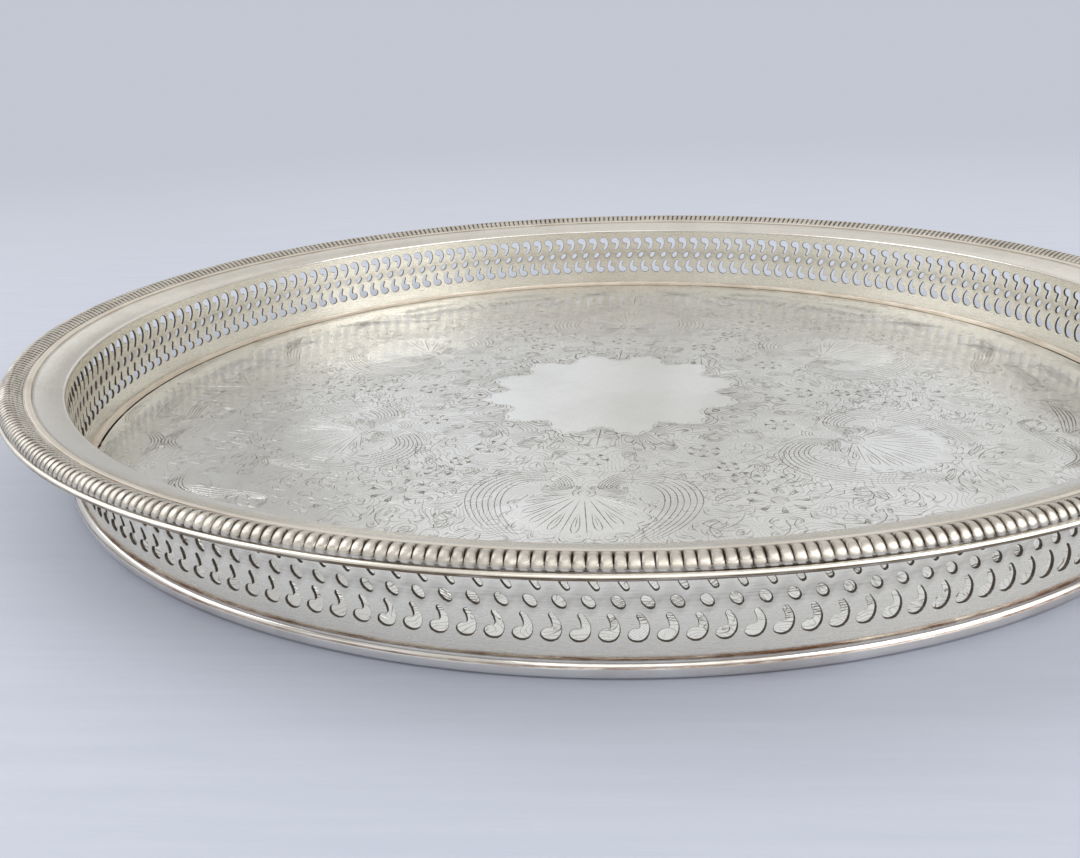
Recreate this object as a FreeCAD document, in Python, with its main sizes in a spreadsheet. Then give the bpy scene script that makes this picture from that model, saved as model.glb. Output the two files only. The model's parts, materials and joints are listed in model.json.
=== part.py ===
import FreeCAD, Part
import math
import os

import Sketcher

# A round silver salver with a pierced gallery, a gadrooned rim and a moulded foot.
#
# Lengths are in millimetres. The axis of the tray is Z, the foot stands on z = 0, and the front is -Y.
# Every piece is a ring or a disc about that axis. All but the pierced gallery are drawn as half a
# section and revolved.

os.makedirs("parts", exist_ok=True)
doc = FreeCAD.newDocument("salver")


# --- Driving dimensions -------------------------------------------------------------------------

DIMENSIONS = {
    # The gallery wall and the plate it stands on.
    "wall_radius": 162.0,  # outside of the pierced wall
    "wall_thick": 0.8,
    "wall_top": 26.0,
    "plate_bottom": 0.5,
    "plate_thick": 0.9,
    # The foot moulding, soldered round the bottom of the wall.
    "foot_reach": 1.9,  # how far it stands out from the wall
    "foot_height": 4.1,
    "foot_crease": 3.0,  # where its upper slope meets its lower band
    "foot_ledge": 1.6,  # how far it runs in under the plate
    "foot_tuck": 1.5,  # how far the lower band turns in towards its bottom, in two flats
    "foot_tuck_height": 1.6,
    "foot_heel": 0.6,  # the corner between the two flats, in from the band
    "foot_heel_height": 0.66,
    "foot_slope_round": 2.2,
    # The wire in the corner between plate and wall, drawn with three flats instead of a round.
    "fillet_width": 2.4,
    "fillet_height": 1.3,
    "fillet_crown_out": 0.8,  # from the inside of the wall
    "fillet_crown_rise": 1.5,  # above the plate
    "fillet_shoulder_out": 1.95,
    "fillet_shoulder_rise": 1.0,
    # The rim flange: sheet turned out from the top of the wall, dished, then running under the border.
    "sheet_thick": 0.7,
    "lip_rise": 0.4,  # plain upright edge above the wall
    "lip_round": 0.8,
    "dish_start_out": 0.65,  # from the inside of the wall
    "dish_start_rise": 1.0,  # above the top of the wall
    "dish_round": 32.0,
    # The thin raised bead between the flange and the border.
    "bead_out": 6.75,  # from the outside of the wall
    "bead_height": 29.45,
    "bead_width": 1.75,
    "bead_slant": 0.4,
    "bead_side": 0.08,
    "bead_crown": 0.16,  # how far its flat top stands above the sides
    "bead_shoulder_share": 0.3,  # of its width, from each side to the flat top
    # The gadrooned border, a thin stamped moulding filled with solder.
    "border_width": 7.05,
    "sheet_edge_drop": 1.05,  # the sheet falls this much from the bead to its outer edge
    "sheet_edge_inset": 0.25,
    "border_slope_round": 12.0,
    "crown_out": 3.1,
    "crown_rise": 1.75,
    "crown_round": 2.4,
    "lobe_tip_out": 6.1,
    "lobe_tip_drop": 0.45,
    "edge_round": 0.75,
    "hollow_slope_round": 11.5,
    "hollow_crown_out": 3.25,
    "hollow_crown_rise": 1.2,
    "hollow_crown_round": 1.9,
    "hollow_tip_out": 5.5,
    "hollow_tip_drop": 0.5,
    "hollow_start_share": 0.14,  # along the sheet, from the bead to the edge
    "hollow_end_share": 0.9,
    # The pierced pattern, one leaning comma, one oval and the comma turned upside down.
    "repeats": 194,
    "first_comma_offset": -0.95,
    "comma_height": 7.35,  # lowest point of the lower comma
    "oval_out": 1.67,  # oval centre, sideways from that point
    "oval_rise": 8.15,
    "oval_long": 1.53,
    "oval_short": 0.95,
    "oval_lean": 130.0,  # degrees from the horizontal
    "seam_out": 1.75,  # a leaning line that passes between one repeat and the next
    "seam_slope": 0.31,
}

sheet = doc.addObject("Spreadsheet::Sheet", "sizes")
for row, (alias, number) in enumerate(DIMENSIONS.items(), start=1):
    sheet.set(f"A{row}", alias)
    sheet.set(f"B{row}", str(number))
    sheet.setAlias(f"B{row}", alias)
doc.recompute()


class Size:
    """A length that holds its present value and the sheet expression that gives it."""

    def __init__(self, value, text):
        self.value = value
        self.text = text

    def combine(self, other, sign):
        if isinstance(other, Size):
            value, text = other.value, other.text
        else:
            value, text = other, str(other)
        if sign == "+":
            return Size(self.value + value, f"({self.text} + {text})")
        if sign == "-":
            return Size(self.value - value, f"({self.text} - {text})")
        return Size(self.value * value, f"({self.text} * {text})")

    def __add__(self, other):
        return self.combine(other, "+")

    def __sub__(self, other):
        return self.combine(other, "-")

    def __mul__(self, other):
        return self.combine(other, "*")


def number(alias):
    return float(sheet.get(alias))


def size(alias):
    return Size(number(alias), f"sizes.{alias}")


# --- Drawing helpers ----------------------------------------------------------------------------

def origin_plane(body, role):
    return next(item for item in body.Origin.OriginFeatures if item.Role == role)


def new_body(label):
    body = doc.addObject("PartDesign::Body", label)
    body.Label = label
    return body


def new_sketch(body, name):
    sketch = body.newObject("Sketcher::SketchObject", name)
    sketch.AttachmentSupport = (origin_plane(body, "XZ_Plane"), "")
    sketch.MapMode = "FlatFace"
    return sketch


def arc_between(start, end, radius, side):
    """An anticlockwise arc of this radius; it bulges to the left (1) or right (-1) of the way."""
    chord = end - start
    across = FreeCAD.Vector(-chord.y, chord.x, 0).normalize()
    bulge = radius - math.sqrt(radius * radius - chord.Length * chord.Length / 4)
    middle = (start + end) * 0.5 + across * bulge * side
    if side > 0:
        return Part.Arc(end, middle, start)
    return Part.Arc(start, middle, end)


def bind(sketch, constraint, name, length):
    """Adds one named constraint and ties it to the sheet."""
    index = sketch.addConstraint(constraint)
    sketch.renameConstraint(index, name)
    sketch.setExpression(f"Constraints.{name}", length.text)


def pin_point(sketch, edge, corner, name, x, y):
    """Holds one end of an edge at x, y from the sketch's origin."""
    for kind, along, length in (("DistanceX", "x", x), ("DistanceY", "y", y)):
        value = length.value
        bind(sketch, Sketcher.Constraint(kind, -1, 1, edge, corner, value), name + along, length)


def draw_outline(sketch, corners):
    """Draws a closed outline.

    Each corner is (name, x, y, bend): bend is None for a straight run to the next corner, or a Size
    and a side, +1 or -1, for an arc of that radius that bulges to the left or right of the way.
    """
    points = [FreeCAD.Vector(x.value, y.value, 0) for _, x, y, _ in corners]
    first = sketch.GeometryCount
    ends = []
    for index, (_, _, _, bend) in enumerate(corners):
        start = points[index]
        end = points[(index + 1) % len(points)]
        if bend is None:
            sketch.addGeometry(Part.LineSegment(start, end))
            ends.append((1, 2))
            continue
        radius, side = bend
        sketch.addGeometry(arc_between(start, end, radius.value, side))
        ends.append((2, 1) if side > 0 else (1, 2))
    for index, (name, x, y, bend) in enumerate(corners):
        edge = first + index
        before = first + (index - 1) % len(corners)
        sketch.addConstraint(
            Sketcher.Constraint("Coincident", before, ends[index - 1][1], edge, ends[index][0])
        )
        pin_point(sketch, edge, ends[index][0], name, x, y)
        if bend is not None:
            radius = bend[0]
            bind(sketch, Sketcher.Constraint("Radius", edge, radius.value), name + "round", radius)


def turned_piece(label, corners):
    """A body turned about Z from half a section in the XZ plane."""
    body = new_body(label)
    sketch = new_sketch(body, label + "_section")
    draw_outline(sketch, corners)
    turned = body.newObject("PartDesign::Revolution", label + "_turned")
    turned.Profile = sketch
    turned.ReferenceAxis = (sketch, ["V_Axis"])
    turned.Angle = 360
    sketch.Visibility = False
    return body


# --- Shared levels and radii --------------------------------------------------------------------

wall_out = size("wall_radius")
wall_in = wall_out - size("wall_thick")
axis = wall_out * 0
plate_bottom = size("plate_bottom")
plate_top = plate_bottom + size("plate_thick")
wall_top = size("wall_top")


# --- The floor: a flat disc of sheet ------------------------------------------------------------

floor_plate = turned_piece(
    "floor_plate",
    [
        ("axis_low", axis, plate_bottom, None),
        ("edge_low", wall_out, plate_bottom, None),
        ("edge_top", wall_out, plate_top, None),
        ("axis_top", axis, plate_top, None),
    ],
)


# --- The foot: a moulded wire with a ledge that the plate's edge sits in ------------------------

foot_out = wall_out + size("foot_reach")
foot_moulding = turned_piece(
    "foot_moulding",
    [
        ("ledge_low", wall_out - size("foot_ledge"), axis, None),
        ("edge_low", foot_out - size("foot_tuck"), axis, None),
        ("heel", foot_out - size("foot_heel"), size("foot_heel_height"), None),
        ("band_low", foot_out, size("foot_tuck_height"), None),
        ("crease", foot_out, size("foot_crease"), (size("foot_slope_round"), -1)),
        ("joint", wall_out, size("foot_height"), None),
        ("rebate", wall_out, plate_bottom, None),
        ("ledge_top", wall_out - size("foot_ledge"), plate_bottom, None),
    ],
)


# --- The wire in the inner corner ---------------------------------------------------------------

corner_wire = turned_piece(
    "corner_wire",
    [
        ("toe", wall_in - size("fillet_width"), plate_top, None),
        ("heel", wall_in, plate_top, None),
        ("head", wall_in, plate_top + size("fillet_height"), None),
        ("crown", wall_in - size("fillet_crown_out"), plate_top + size("fillet_crown_rise"), None),
        ("shoulder", wall_in - size("fillet_shoulder_out"), plate_top + size("fillet_shoulder_rise"), None),
    ],
)


# --- The gallery: a band of sheet, pierced all round --------------------------------------------

# The comma-shaped hole, counter-clockwise from its lowest point: sideways and up, in millimetres.
COMMA = (
    (0.00, 0.00),
    (0.97, 0.32),
    (1.70, 1.30),
    (1.94, 2.67),
    (1.70, 3.89),
    (1.13, 4.94),
    (0.57, 5.67),
    (0.16, 5.86),
    (-0.22, 5.62),
    (-0.26, 5.18),
    (0.08, 4.46),
    (0.27, 3.73),
    (0.33, 3.08),
    (0.10, 2.72),
    (-0.65, 2.66),
    (-1.30, 2.38),
    (-1.78, 1.78),
    (-1.83, 0.97),
    (-1.38, 0.40),
    (-0.81, 0.10),
)


def comma_outline(low_x, low_z, side):
    """The comma placed by its lowest point; side -1 turns it half a turn about that point."""
    return [(low_x + side * x, low_z + side * z) for x, z in COMMA]


def oval_outline(centre_x, centre_z, points=12):
    lean = math.radians(number("oval_lean"))
    outline = []
    for step in range(points):
        along = number("oval_long") * math.cos(2 * math.pi * step / points)
        across = number("oval_short") * math.sin(2 * math.pi * step / points)
        x = centre_x + along * math.cos(lean) - across * math.sin(lean)
        z = centre_z + along * math.sin(lean) + across * math.cos(lean)
        outline.append((x, z))
    return outline


def rim_on_wall(outline, radius):
    """A smooth closed edge through the outline's points, bent round to the wall's radius."""
    points = []
    for x, z in outline:
        angle = x / wall_out.value
        points.append(FreeCAD.Vector(radius * math.sin(angle), -radius * math.cos(angle), z))
    curve = Part.BSplineCurve()
    curve.interpolate(Points=points, PeriodicFlag=True)
    return curve.toShape()


def leaning_wedge(low_x, slope, bottom, top):
    """A slice of cake one repeat wide, twisted so that its sides lean between the holes."""
    pitch = 2 * math.pi / number("repeats")
    reach = wall_out.value + 1
    triangles = []
    for z in (bottom, top):
        start = (low_x + slope * (z - number("comma_height"))) / wall_out.value
        corners = [FreeCAD.Vector(0, 0, z)]
        for angle in (start - pitch, start):
            corners.append(FreeCAD.Vector(reach * math.sin(angle), -reach * math.cos(angle), z))
        triangles.append(Part.makePolygon(corners + corners[:1]))
    return Part.makeLoft(triangles, True, True)


def pierced_band():
    """One repeat of the band is cut, and its skin is copied round and sewn into one solid."""
    bottom = plate_top.value
    top = wall_top.value
    base = FreeCAD.Vector(0, 0, bottom)
    ring = Part.makeCylinder(wall_out.value, top - bottom, base)
    ring = ring.cut(Part.makeCylinder(wall_in.value, top - bottom, base))
    comma_x = number("first_comma_offset")
    comma_z = number("comma_height")
    oval_x = comma_x + number("oval_out")
    oval_z = comma_z + number("oval_rise")
    upper_x = oval_x + number("oval_out")
    upper_z = oval_z + number("oval_rise")
    repeat = ring.common(leaning_wedge(comma_x + number("seam_out"), number("seam_slope"), bottom, top))
    outlines = [
        comma_outline(comma_x, comma_z, 1),
        oval_outline(oval_x, oval_z),
        comma_outline(upper_x, upper_z, -1),
    ]
    skin = []
    for face in repeat.Faces:
        if isinstance(face.Surface, Part.Cylinder):
            rims = [rim_on_wall(outline, face.Surface.Radius) for outline in outlines]
            face.cutHoles([Part.Wire([rim]) for rim in rims])
            face.validate()
            skin.append(face)
        elif face.BoundBox.ZLength < top - bottom - 0.01:
            skin.append(face)
    for outline in outlines:
        rims = [rim_on_wall(outline, radius) for radius in (wall_out.value, wall_in.value)]
        skin.append(Part.makeRuledSurface(*rims))
    repeats = int(number("repeats"))
    faces = []
    for turn in range(repeats):
        for face in skin:
            faces.append(face.rotated(FreeCAD.Vector(0, 0, 0), FreeCAD.Vector(0, 0, 1), 360 * turn / repeats))
    shell = Part.makeCompound(faces)
    shell.sewShape(0.001)
    return Part.makeSolid(shell.Shells[0])


gallery_band = doc.addObject("Part::Feature", "gallery_band")
gallery_band.Label = "gallery_band"
gallery_band.Shape = pierced_band()
gallery_band.Placement = FreeCAD.Placement(FreeCAD.Vector(0, 0, 0), FreeCAD.Rotation())


# --- The rim flange: one ring of sheet, dished, with its outer part flat under the border --------

bead_start = (wall_out + size("bead_out"), size("bead_height"))
border_start = (bead_start[0] + size("bead_width"), bead_start[1] + size("bead_slant"))
sheet_edge = (
    border_start[0] + size("border_width") - size("sheet_edge_inset"),
    border_start[1] - size("sheet_edge_drop"),
)
dish_start = (wall_in + size("dish_start_out"), wall_top + size("dish_start_rise"))
sheet_thick = size("sheet_thick")

rim_flange = turned_piece(
    "rim_flange",
    [
        ("wall_in", wall_in, wall_top, None),
        ("wall_out", wall_out, wall_top, (size("dish_round"), 1)),
        ("under_bead", bead_start[0], bead_start[1] - sheet_thick, None),
        ("under_border", border_start[0], border_start[1] - sheet_thick, None),
        ("edge_low", sheet_edge[0], sheet_edge[1] - sheet_thick, None),
        ("edge_top", *sheet_edge, None),
        ("border", *border_start, None),
        ("bead", *bead_start, (size("dish_round"), -1)),
        ("dish", *dish_start, (size("lip_round"), 1)),
        ("lip", wall_in, wall_top + size("lip_rise"), None),
    ],
)


# --- The bead: a thin wire with a flat top between flange and border ----------------------------

bead_side = size("bead_side")
bead_top = bead_side + size("bead_crown")
shoulder_out = size("bead_width") * size("bead_shoulder_share")
shoulder_rise = size("bead_slant") * size("bead_shoulder_share")

rim_bead = turned_piece(
    "rim_bead",
    [
        ("start", *bead_start, None),
        ("start_side", bead_start[0], bead_start[1] + bead_side, None),
        ("start_top", bead_start[0] + shoulder_out, bead_start[1] + bead_top + shoulder_rise, None),
        ("finish_top", border_start[0] - shoulder_out, border_start[1] + bead_top - shoulder_rise, None),
        ("finish_side", border_start[0], border_start[1] + bead_side, None),
        ("finish", *border_start, None),
    ],
)


# --- The gadrooned border: a stamped shell, hollow behind, and the solder that fills it ---------


def on_sheet(share):
    """A point on top of the sheet, this share of the way from the bead to the edge."""
    return (
        border_start[0] + (sheet_edge[0] - border_start[0]) * share,
        border_start[1] + (sheet_edge[1] - border_start[1]) * share,
    )


def from_border(out, rise):
    return (border_start[0] + out, border_start[1] + rise)


hollow_start = on_sheet(size("hollow_start_share"))
hollow_end = on_sheet(size("hollow_end_share"))
hollow_crown = from_border(size("hollow_crown_out"), size("hollow_crown_rise"))
hollow_tip = from_border(size("hollow_tip_out"), size("hollow_tip_drop") * -1)
border_edge = (border_start[0] + size("border_width"), sheet_edge[1])

gadroon_border = turned_piece(
    "gadroon_border",
    [
        ("start", *border_start, (size("border_slope_round"), 1)),
        ("crown", *from_border(size("crown_out"), size("crown_rise")), (size("crown_round"), 1)),
        ("tip", *from_border(size("lobe_tip_out"), size("lobe_tip_drop") * -1), (size("edge_round"), 1)),
        ("edge", *border_edge, None),
        ("sheet_edge", *sheet_edge, None),
        ("hollow_end", *hollow_end, None),
        ("hollow_tip", *hollow_tip, (size("hollow_crown_round"), -1)),
        ("hollow_crown", *hollow_crown, (size("hollow_slope_round"), -1)),
        ("hollow_start", *hollow_start, None),
    ],
)

border_filling = turned_piece(
    "border_filling",
    [
        ("start", *hollow_start, (size("hollow_slope_round"), 1)),
        ("crown", *hollow_crown, (size("hollow_crown_round"), 1)),
        ("tip", *hollow_tip, None),
        ("finish", *hollow_end, None),
    ],
)


# --- Finish: solve, check and write -------------------------------------------------------------

doc.recompute()
for item in doc.Objects:
    if "Invalid" in item.State or "Error" in item.State:
        raise RuntimeError(f"{item.Label} did not solve: {item.State}")

pieces = [
    floor_plate,
    foot_moulding,
    corner_wire,
    gallery_band,
    rim_flange,
    rim_bead,
    gadroon_border,
    border_filling,
]
for piece in pieces:
    shape = piece.Shape
    if shape.isNull() or not shape.isValid():
        raise RuntimeError(f"{piece.Label} has no valid shape")
for piece in pieces:
    piece.Shape.exportStep(f"parts/{piece.Label}.step")
    print(piece.Label, round(piece.Shape.Volume), "mm3")
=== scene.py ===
import json
import math

import bmesh
import bpy
import numpy as np
from mathutils import Matrix, Vector, geometry

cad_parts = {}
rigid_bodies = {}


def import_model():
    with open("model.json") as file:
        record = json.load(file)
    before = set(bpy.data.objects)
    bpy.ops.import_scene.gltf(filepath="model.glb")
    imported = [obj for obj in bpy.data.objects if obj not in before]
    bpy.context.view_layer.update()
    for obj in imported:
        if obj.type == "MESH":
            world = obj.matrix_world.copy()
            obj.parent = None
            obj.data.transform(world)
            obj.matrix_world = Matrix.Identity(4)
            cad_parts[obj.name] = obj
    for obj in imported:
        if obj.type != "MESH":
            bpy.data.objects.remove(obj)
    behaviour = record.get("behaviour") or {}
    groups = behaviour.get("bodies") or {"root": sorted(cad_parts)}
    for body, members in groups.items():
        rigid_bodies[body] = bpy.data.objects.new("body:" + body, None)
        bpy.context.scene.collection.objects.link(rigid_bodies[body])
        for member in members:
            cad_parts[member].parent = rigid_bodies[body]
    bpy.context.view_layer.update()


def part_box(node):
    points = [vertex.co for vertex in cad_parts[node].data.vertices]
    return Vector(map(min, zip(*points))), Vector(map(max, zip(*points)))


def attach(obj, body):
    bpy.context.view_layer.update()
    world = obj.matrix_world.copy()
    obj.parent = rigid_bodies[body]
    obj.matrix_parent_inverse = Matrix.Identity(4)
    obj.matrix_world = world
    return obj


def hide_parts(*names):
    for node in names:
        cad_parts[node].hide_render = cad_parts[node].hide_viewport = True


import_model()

mm = 0.001


# ---------------------------------------------------------------------------------------------
# The floor plate: one disc of silver sheet. It lies in the foot's rebate, and its top is engraved
# all over except for a blank star in the middle. The helpers that other pieces share are here too.
# ---------------------------------------------------------------------------------------------

plate_low, plate_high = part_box("floor_plate")
plate_bottom, plate_top = plate_low.z, plate_high.z
wall_out = plate_high.x
wall_in = wall_out - 0.8 * mm
wall_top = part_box("gallery_band")[1].z


def arc(start, end, bulge, steps):
    """Points from start to end on an arc that stands off the chord by bulge, left of the way."""
    start, end = np.array(start, float), np.array(end, float)
    chord = end - start
    length = np.hypot(*chord)
    side = np.array([-chord[1], chord[0]]) / length
    radius = (length * length / 4 + bulge * bulge) / (2 * bulge)
    centre = (start + end) / 2 + side * (bulge - radius)
    first = math.atan2(*(start - centre)[::-1])
    last = math.atan2(*(end - centre)[::-1])
    turn = (last - first + math.pi) % (2 * math.pi) - math.pi
    angles = first + turn * np.linspace(0, 1, steps + 1)
    return [tuple(centre + abs(radius) * np.array([math.cos(a), math.sin(a)])) for a in angles]


def set_points(mesh, name, values):
    """Stores one number for each point of the mesh, for the material to read."""
    mesh.attributes.new(name, "FLOAT", "POINT").data.foreach_set("value", np.asarray(values, np.float32))


def make_object(name, points, faces, material, grime_and_shade, sharp_degrees=35, smooth=True):
    mesh = bpy.data.meshes.new(name)
    mesh.from_pydata([tuple(p) for p in points], [], faces)
    set_points(mesh, "grime_and_shade", grime_and_shade)
    mesh.materials.append(material)
    shell = bmesh.new()
    shell.from_mesh(mesh)
    bmesh.ops.recalc_face_normals(shell, faces=shell.faces)
    shell.to_mesh(mesh)
    shell.free()
    if smooth:
        mesh.shade_smooth()
        mesh.set_sharp_from_angle(angle=math.radians(sharp_degrees))
    mesh.validate()
    piece = bpy.data.objects.new(name, mesh)
    bpy.context.collection.objects.link(piece)
    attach(piece, "root")
    return piece


def unevenness(angle, seed, size):
    """A slow hand-made wave round the ring, the same on every run."""
    rng = np.random.default_rng(seed)
    wave = np.zeros_like(angle)
    for lobes in (2, 3, 5, 8, 13, 21):
        wave += np.sin(lobes * angle + rng.uniform(0, 2 * math.pi)) * rng.uniform(0.4, 1.0) / lobes
    return wave * size


def turned(name, section, material, grime_and_shade, wave=0.0, seed=1, steps=720):
    """A ring turned from a closed section of (radius, height) points, slightly uneven."""
    section = np.array(section, float)
    angles = np.arange(steps) * 2 * math.pi / steps
    radii = np.tile(section[:, 0], (steps, 1))
    heights = section[None, :, 1] + unevenness(angles, seed, wave)[:, None]
    points = np.stack([radii * np.cos(angles)[:, None], radii * np.sin(angles)[:, None], heights], -1)
    count = len(section)
    faces = []
    for step in range(steps):
        here, there = step * count, (step + 1) % steps * count
        for corner in range(count):
            after = (corner + 1) % count
            faces.append((here + corner, there + corner, there + after, here + after))
    return make_object(name, points.reshape(-1, 3), faces, material, np.tile(grime_and_shade, steps))


def node(tree, kind, settings=(), **sockets):
    """A shader node with some settings. A socket takes a value or another node's output, and goes by
    its name, or by its number after an i."""
    made = tree.nodes.new(kind)
    for key, value in dict(settings).items():
        setattr(made, key, value)
    for key, value in sockets.items():
        by_number = key[0] == "i" and key[1:].isdigit()
        socket = made.inputs[int(key[1:]) if by_number else key.replace("_", " ")]
        if isinstance(value, bpy.types.NodeSocket):
            tree.links.new(value, socket)
        else:
            socket.default_value = value
    return made


def maths(tree, operation, *values, clamp=False, kind="ShaderNodeMath"):
    settings = {"operation": operation}
    if clamp:
        settings["use_clamp"] = True
    made = node(tree, kind, settings, **{f"i{number}": value for number, value in enumerate(values)})
    return made.outputs["Value"] if operation == "LENGTH" else made.outputs[0]


def vectors(tree, operation, *values):
    return maths(tree, operation, *values, kind="ShaderNodeVectorMath")


def noise(tree, place, scale, detail, roughness=0.5):
    made = node(tree, "ShaderNodeTexNoise", i0=place, Scale=scale, Detail=detail, Roughness=roughness)
    return made.outputs["Fac"]


def ranged(tree, value, low, high, new_low=0.0, new_high=1.0, settings=()):
    """Carries the range low to high over to a new one, and stops at its ends."""
    made = node(tree, "ShaderNodeMapRange", settings, i0=value, i1=low, i2=high, i3=new_low, i4=new_high)
    return made.outputs[0]


def mixed(tree, share, first, second, blend="MIX"):
    """The first colour, with this share of the second."""
    settings = {"data_type": "RGBA", "blend_type": blend}
    return node(tree, "ShaderNodeMix", settings, i0=share, i6=first, i7=second).outputs[2]


def weld(points, faces, extras):
    """Joins points that lie together and carry the same extra values."""
    keys = np.round(np.hstack([np.asarray(points) / (0.0002 * mm), np.asarray(extras) * 50]))
    _, first, where = np.unique(keys, axis=0, return_index=True, return_inverse=True)
    where = where.ravel()
    joined = []
    for face in faces:
        corners = list(dict.fromkeys(int(where[corner]) for corner in face))
        if len(corners) > 2:
            joined.append(tuple(corners))
    return np.asarray(points)[first], joined, np.asarray(extras)[first]


def silver(name, tint, stain, roughness, scratch_depth, cloud, rings=True, cloud_scale=46.0):
    """Polished silver: fine scratches, soft clouds of tarnish, and dark stain set per point. On the foot the
    clouds are partly a painted reflection, and the stain along its bottom edge is painted shade.
    """
    material = bpy.data.materials.new(name)
    material.use_nodes = True
    tree = material.node_tree
    shader = tree.nodes["Principled BSDF"]
    shader.inputs["Metallic"].default_value = 1.0
    place = node(tree, "ShaderNodeTexCoord").outputs["Object"]
    if rings:
        # Buffing marks run round the tray: they change with radius and height, hardly with angle.
        flat = vectors(tree, "MULTIPLY", place, (1, 1, 0))
        radius = vectors(tree, "LENGTH", flat)
        level = node(tree, "ShaderNodeSeparateXYZ", i0=place).outputs["Z"]
        across = maths(tree, "MULTIPLY_ADD", level, 1.7, radius)
        way = vectors(tree, "MULTIPLY", vectors(tree, "NORMALIZE", flat), (0.010, 0.010, 0))
        part = node(tree, "ShaderNodeSeparateXYZ", i0=way)
        lay = node(tree, "ShaderNodeCombineXYZ", i0=part.outputs[0], i1=part.outputs[1], i2=across).outputs[0]
        specks = noise(tree, lay, 1300.0, 5.0, 0.75)
    else:
        lay = node(tree, "ShaderNodeMapping", i0=place, i2=(0, 0, 0.6), i3=(1.0, 0.09, 1.0)).outputs[0]
        specks = noise(tree, place, 260.0, 5.0, 0.75)
    scratches = noise(tree, lay, 3600.0, 3.0, 0.6)
    # Clouds of tarnish. On the foot they are strong and reddish-brown, and also serve as a painted reflection
    # of a brown thing in the room.
    clouds = noise(tree, place, cloud_scale, 5.0, 0.62)
    # Per point: how far to darken towards the stain. This is grime, and at the foot's bottom edge it is
    # painted contact shade.
    grime_and_shade = node(tree, "ShaderNodeAttribute", {"attribute_name": "grime_and_shade"}).outputs["Fac"]
    cloudy = ranged(tree, clouds, 0.45, 0.75, 0.0, cloud)
    patchy = ranged(tree, specks, 0.36, 0.62, 0.45, 1.2)
    streaky = ranged(tree, scratches, 0.52, 0.78, 0.0, 0.14)
    dirty = maths(tree, "MULTIPLY_ADD", grime_and_shade, patchy, streaky)
    total = maths(tree, "ADD", dirty, cloudy, clamp=True)
    # A chased ground is covered with small curling cuts, side by side like ripples.
    chased = node(tree, "ShaderNodeAttribute", {"attribute_name": "chased"}).outputs["Fac"]
    swirls = maths(tree, "PINGPONG", maths(tree, "MULTIPLY", noise(tree, place, 85.0, 0.6, 0.4), 21.0), 0.5)
    lines = maths(tree, "MULTIPLY", ranged(tree, swirls, 0.0, 0.13, 1.0, 0.0), chased)
    matted = maths(tree, "MULTIPLY_ADD", lines, 0.34, total)
    total = maths(tree, "MULTIPLY_ADD", chased, 0.07, matted, clamp=True)
    tree.links.new(mixed(tree, total, (*tint, 1), (*stain, 1)), shader.inputs["Base Color"])
    rough = ranged(tree, scratches, 0.3, 0.75, roughness * 0.75, roughness * 1.6)
    tree.links.new(maths(tree, "MULTIPLY_ADD", total, 0.25, rough, clamp=True), shader.inputs["Roughness"])
    relief = node(tree, "ShaderNodeBump", Strength=scratch_depth, Distance=0.00003, Height=scratches)
    chasing = node(tree, "ShaderNodeBump", {"invert": True}, Strength=0.35, Distance=0.00006, Height=lines,
                   Normal=relief.outputs[0])
    waves = node(tree, "ShaderNodeBump", Strength=0.35, Distance=0.0006, Height=clouds,
                 Normal=chasing.outputs[0])
    tree.links.new(waves.outputs[0], shader.inputs["Normal"])
    return material


engraved_silver = silver("engraved_silver", (0.90, 0.915, 0.93), (0.165, 0.14, 0.105), 0.13, 0.28, 0.16,
                         rings=False, cloud_scale=21.0)

# One twelfth of the pattern is drawn, from the axis of a shell to the axis of a flower spray. Its
# mirror image and five turns make the rest. Drawing units are the plate's radius.
shells = 6
shell_turn = math.radians(-5)
half_sector = math.pi / shells
cuts = []
hand = np.random.default_rng(14)


def between(a, b, c, d, u):
    """The point a share u of the way from b to c, on the smooth curve through a, b, c and d."""
    return 0.5 * (2 * b + (c - a) * u + (2 * a - 5 * b + 4 * c - d) * u**2 + (3 * b - a - 3 * c + d) * u**3)


def along(points, count):
    """Points on a smooth curve through a few given ones."""
    points = np.asarray(points, float)
    guide = np.vstack([2 * points[0] - points[1], points, 2 * points[-1] - points[-2]])
    out = []
    for t in np.linspace(0, len(points) - 1, count):
        k = min(int(t), len(points) - 2)
        out.append(between(*guide[k:k + 4], t - k))
    return np.array(out)


def side_of(line):
    """Unit vectors square to a line, on its left."""
    way = np.gradient(line, axis=0)
    way /= np.linalg.norm(way, axis=1)[:, None] + 1e-12
    return np.stack([-way[:, 1], way[:, 0]], 1)


def cut(points, width=0.30, count=7, swell=0.5):
    """One cut of the graver: it enters thin, swells and leaves thin. The width is in millimetres."""
    line = along(points, count)
    line = line + hand.normal(0, 0.00035, 2)
    share = np.linspace(0, 1, count)
    cuts.append((line, width * mm / 2 / wall_out * np.sin(math.pi * share) ** swell))


def polar(radius, degrees):
    turn = math.radians(degrees)
    return np.array([radius * math.sin(turn), radius * math.cos(turn)])


def spiral(centre, start_radius, end_radius, start_degrees, turns, count=9):
    """Points of a spiral; turns is positive anticlockwise."""
    share = np.linspace(0, 1, count)
    radius = start_radius + (end_radius - start_radius) * share**0.8
    turn = math.radians(start_degrees) + 2 * math.pi * turns * share
    return np.asarray(centre) + np.stack([radius * np.cos(turn), radius * np.sin(turn)], 1)


def band(points, lines, spacing, width=0.26, count=16):
    """Concentric cuts beside a curve, close at both ends and spread in the middle."""
    line = along(points, count)
    spread = np.sin(math.pi * np.linspace(0, 1, count)) ** 0.5
    for k in range(lines):
        trim = k // 2
        beside = line + side_of(line) * (spread * spacing * k)[:, None]
        cut(beside[trim:count - trim:2], width, count * 2 // 3)


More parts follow.
